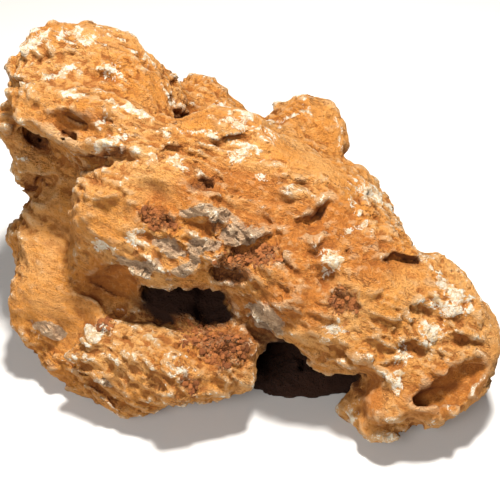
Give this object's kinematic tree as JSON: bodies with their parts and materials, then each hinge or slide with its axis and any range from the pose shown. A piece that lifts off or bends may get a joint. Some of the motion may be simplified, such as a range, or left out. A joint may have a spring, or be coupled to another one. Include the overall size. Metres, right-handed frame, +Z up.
{
  "type": "limestone rock",
  "caption": "Weathered limestone rock for an aquascape, with dipping ledges, a small cave, an arch at its foot and ochre clay on pale stone; it rests on its own feet.",
  "frame": {"origin": "the middle of the stone's bounding box, on the surface that it rests on", "axes": "+Z up, +X along the stone's length towards its low end, -Y towards the face with the cave"},
  "size_m": [0.1751, 0.1337, 0.1077],
  "materials": {
    "limestone": "dry ochre clay over pale grey limestone, bare and chalky white on worn edges, with dark granular pockets"
  },
  "bodies": {
    "root": {"limestone_rock": "limestone"}
  },
  "joints": []
}
